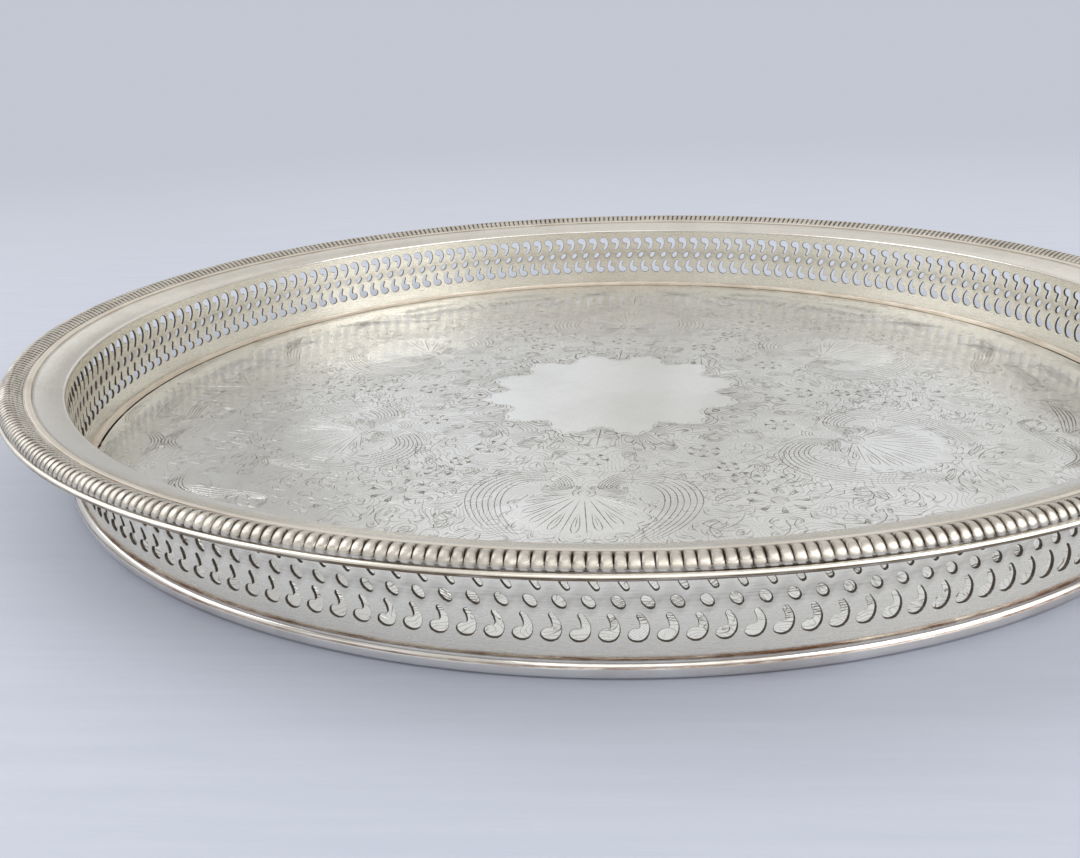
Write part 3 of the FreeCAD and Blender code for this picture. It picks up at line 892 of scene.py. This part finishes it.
# ---------------------------------------------------------------------------------------------
# The gadrooned border: a moulding stamped from thin silver, with rounded lobes side by side, a
# plain bright lip below them, and a hollow back that is filled with solder.
# ---------------------------------------------------------------------------------------------

lobes = 500
border_silver = silver("border_silver", (0.97, 0.925, 0.85), (0.075, 0.055, 0.038), 0.22, 0.15, 0.10)
crown = (border_start[0] + 3.1 * mm, border_start[1] + 1.75 * mm)
lobe_tip = (border_start[0] + 6.30 * mm, border_start[1] - 0.55 * mm)
border_edge = (border_start[0] + 7.05 * mm, sheet_edge[1])
face_line = np.array(arc(border_start, crown, 0.15 * mm, 6) + arc(crown, lobe_tip, 0.86 * mm, 11)[1:])
face_way = np.gradient(face_line, axis=0)
face_way /= np.linalg.norm(face_way, axis=1)[:, None]
face_out = np.stack([-face_way[:, 1], face_way[:, 0]], 1)
face_share = np.concatenate([[0], np.cumsum(np.linalg.norm(np.diff(face_line, axis=0), axis=1))])
face_share /= face_share[-1]
lip_line = arc(lobe_tip, border_edge, 0.14 * mm, 4)[1:]
back_line = [sheet_edge, border_start]
lobe_places = (-1.0, -0.90, -0.74, -0.42, 0.0, 0.42, 0.74, 0.90)
groove_depth = 0.50 * mm
end_depth = 0.15 * mm


def lobe_height(x, share):
    """From 0 in the groove to 1 on the lobe: a broad round top, steep sides and a rounded tip."""
    reach = 1.0
    if share > 0.84:
        reach = math.sqrt(max(0.0, 1 - ((share - 0.84) / 0.16) ** 2))
    if share < 0.06:
        reach = math.sqrt(max(0.0, 1 - ((0.06 - share) / 0.06) ** 2))
    if abs(x) >= reach:
        return 0.0
    return (1 - (abs(x) / reach) ** 3.4) ** 0.6


def groove_at(share):
    """The grooves are deepest over the crown and run out towards both ends of the lobes."""
    fade_in = min(1.0, share / 0.16)
    fade_out = min(1.0, max(0.0, (0.95 - share) / 0.35))
    return end_depth + (groove_depth - end_depth) * min(fade_in, fade_out)


border_points = []
border_darkness = []
for lobe in range(lobes):
    for x in lobe_places:
        angle = (lobe + (x + 1) / 2) * 2 * math.pi / lobes
        column = []
        for place, outward, share in zip(face_line, face_out, face_share):
            sunk = (1 - lobe_height(x, share)) * groove_at(share)
            column.append(place - outward * sunk)
            # The grooves are coloured darker the deeper they sink.
            border_darkness.append(0.30 + min(1.2, sunk / groove_depth * 2.0))
        column += lip_line + back_line
        border_darkness += [0.0] * (len(lip_line) - 1) + [0.5] + [0.3] * len(back_line)
        border_points += [(r * math.cos(angle), r * math.sin(angle), z) for r, z in column]
rows = len(face_line) + len(lip_line) + len(back_line)
columns = lobes * len(lobe_places)
border_faces = []
for column in range(columns):
    here, there = column * rows, (column + 1) % columns * rows
    for row in range(rows):
        after = (row + 1) % rows
        border_faces.append((here + row, here + after, there + after, there + row))
border = make_object(
    "gadroon_moulding", border_points, border_faces, border_silver, border_darkness, sharp_degrees=75)
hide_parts("gadroon_border")


# ---------------------------------------------------------------------------------------------
# The filling: soft solder, run molten into the hollow back of the border so that the thin
# stamping can't be dented. It never shows, so it gets no more than a dull grey finish.
# ---------------------------------------------------------------------------------------------

solder = bpy.data.materials.new("solder_grey")
solder.use_nodes = True
tree = solder.node_tree
shader = tree.nodes["Principled BSDF"]
shader.inputs["Metallic"].default_value = 1.0
place = node(tree, "ShaderNodeTexCoord").outputs["Object"]
lumps = noise(tree, place, 500.0, 4.0)
tree.links.new(ranged(tree, lumps, 0.3, 0.7, 0.45, 0.65), shader.inputs["Roughness"])
shader.inputs["Base Color"].default_value = (0.35, 0.35, 0.36, 1)
for item in bpy.data.objects:
    if item.name == "border_filling":
        for slot in item.material_slots:
            slot.material = solder


# ---------------------------------------------------------------------------------------------
# The table top, the lights and the camera. None of them is part of the tray.
# ---------------------------------------------------------------------------------------------

BACKDROP = (0.545, 0.575, 0.645)
table_paint = bpy.data.materials.new("pale_table")
table_paint.use_nodes = True
tree = table_paint.node_tree
shader = tree.nodes["Principled BSDF"]
place = node(tree, "ShaderNodeTexCoord").outputs["Object"]
brushed = node(tree, "ShaderNodeMapping", i0=place, i2=(0, 0, 0.15), i3=(3, 42, 1)).outputs[0]
strokes = noise(tree, brushed, 5.0, 6.0, 0.6)
pale = mixed(tree, strokes, (0.54, 0.585, 0.705, 1), (0.64, 0.68, 0.80, 1))
tree.links.new(pale, shader.inputs["Base Color"])
ridges = node(tree, "ShaderNodeBump", Strength=0.25, Distance=0.0008, Height=strokes)
tree.links.new(ridges.outputs[0], shader.inputs["Normal"])
shader.inputs["Roughness"].default_value = 0.5
# Far from the tray the table melts into the backdrop, like a studio sweep.
from_centre = vectors(tree, "LENGTH", place)
melt = ranged(tree, from_centre, 0.30, 1.1, settings={"interpolation_type": "SMOOTHSTEP"})
sweep = node(tree, "ShaderNodeEmission", Color=(*BACKDROP, 1))
blend = node(tree, "ShaderNodeMixShader", i0=melt, i1=shader.outputs[0], i2=sweep.outputs[0])
tree.links.new(blend.outputs[0], tree.nodes["Material Output"].inputs["Surface"])
table_half = 6.0
table_corners = [(x * table_half, y * table_half, 0) for x, y in ((-1, -1), (1, -1), (1, 1), (-1, 1))]
table = bpy.data.meshes.new("table_top")
table.from_pydata(table_corners, [], [(0, 1, 2, 3)])
table.materials.append(table_paint)
table_top = bpy.data.objects.new("table_top", table)
bpy.context.collection.objects.link(table_top)


def ramp(tree, value, first, last, *others):
    """A colour ramp, each of whose stops is a position and a colour."""
    made = node(tree, "ShaderNodeValToRGB", i0=value)
    stops = made.color_ramp.elements
    for number, (position, colour) in enumerate((first, last)):
        stops[number].position = position
        stops[number].color = (*colour, 1)
    for position, colour in others:
        stops.new(position).color = (*colour, 1)
    return made.outputs["Color"]


# The room is a pale sky with soft upright bands of shade, which the polished silver mirrors.
world = bpy.data.worlds.new("room")
bpy.context.scene.world = world
world.use_nodes = True
tree = world.node_tree
background = tree.nodes["Background"]
direction = node(tree, "ShaderNodeTexCoord").outputs["Generated"]
axes = node(tree, "ShaderNodeSeparateXYZ", i0=direction)
sky = ramp(tree, axes.outputs["Z"], (0.0, (0.57, 0.60, 0.66)), (0.95, (0.80, 0.80, 0.79)),
           (0.14, (0.62, 0.63, 0.65)), (0.26, (0.78, 0.79, 0.79)), (0.50, (0.90, 0.90, 0.88)),
           (0.66, (0.74, 0.73, 0.71)))
upright = node(tree, "ShaderNodeMapping", i0=direction, i1=(0.3, 0.0, 0.0), i3=(2.2, 2.2, 0.25)).outputs[0]
bands = ramp(tree, noise(tree, upright, 2.4, 2.5, 0.6), (0.36, (0.34, 0.31, 0.28)), (0.56, (1, 1, 1)),
             (0.45, (0.82, 0.79, 0.74)))
room = mixed(tree, 0.6, sky, bands, "MULTIPLY")
# In front of the tray stand a few dark and light upright things, such as a door and a chair.
things = ramp(
    tree, ranged(tree, axes.outputs["X"], -0.6, 0.6), (0.0, (1, 1, 1)), (1.0, (1, 1, 1)),
    (0.20, (1, 1, 1)), (0.235, (0.45, 0.40, 0.36)), (0.29, (0.50, 0.46, 0.42)), (0.32, (1.2, 1.2, 1.2)),
    (0.46, (1, 1, 1)), (0.49, (0.32, 0.21, 0.165)), (0.56, (0.40, 0.27, 0.22)), (0.585, (1.3, 1.3, 1.3)),
    (0.64, (1.25, 1.25, 1.25)), (0.66, (0.48, 0.40, 0.36)), (0.70, (0.60, 0.54, 0.50)), (0.74, (1, 1, 1)))
in_front = ranged(tree, axes.outputs["Y"], -0.55, -0.75)
not_high = ranged(tree, axes.outputs["Z"], 0.62, 0.45)
standing = mixed(tree, maths(tree, "MULTIPLY", in_front, not_high), room, things, "MULTIPLY")
tree.links.new(standing, background.inputs["Color"])
background.inputs["Strength"].default_value = 1.0
backdrop = node(tree, "ShaderNodeBackground", Color=(*BACKDROP, 1), Strength=1.0)
seen = node(tree, "ShaderNodeLightPath").outputs["Is Camera Ray"]
either = node(tree, "ShaderNodeMixShader", i0=seen, i1=background.outputs[0], i2=backdrop.outputs[0])
tree.links.new(either.outputs[0], tree.nodes["World Output"].inputs["Surface"])


def softbox(name, place, target, width, height, power, colour=(1, 1, 1)):
    light = bpy.data.lights.new(name, "AREA")
    light.shape = "RECTANGLE"
    light.size, light.size_y = width, height
    light.energy = power
    light.color = colour
    lamp = bpy.data.objects.new(name, light)
    lamp.location = place
    lamp.rotation_euler = (Vector(target) - Vector(place)).to_track_quat("-Z", "Y").to_euler()
    bpy.context.collection.objects.link(lamp)


softbox("window_right", (1.6, -0.7, 1.3), (0, 0, 0), 1.7, 1.5, 14.0, (1.0, 0.99, 0.97))
softbox("window_left", (-1.6, 0.3, 1.5), (0, 0, 0), 1.7, 1.7, 11.0, (0.98, 0.99, 1.0))
softbox("room_light", (0.3, -1.3, 1.7), (0, 0, 0), 1.8, 1.2, 5.0, (1.0, 0.965, 0.90))
bpy.context.scene.view_settings.view_transform = "Standard"

camera_data = bpy.data.cameras.new("camera")
camera_data.sensor_width = 36.0
camera_data.lens = 34.12
camera = bpy.data.objects.new("camera", camera_data)
bpy.context.collection.objects.link(camera)
bpy.context.scene.camera = camera
yaw = math.radians(-4.27)
pitch_down = math.radians(20.31)
roll = math.radians(-2.28)
level = math.cos(pitch_down)
forward = Vector((math.sin(yaw) * level, math.cos(yaw) * level, -math.sin(pitch_down)))
right = Vector((math.cos(yaw), -math.sin(yaw), 0))
upward = right.cross(forward)
level_right = right * math.cos(roll) + upward * math.sin(roll)
level_up = upward * math.cos(roll) - right * math.sin(roll)
camera.matrix_world = Matrix.Translation((0.0, -321.15 * mm, 107.45 * mm)) @ Matrix(
    (level_right, level_up, -forward)).transposed().to_4x4()
camera_data.clip_start = 0.005

bpy.context.view_layer.update()
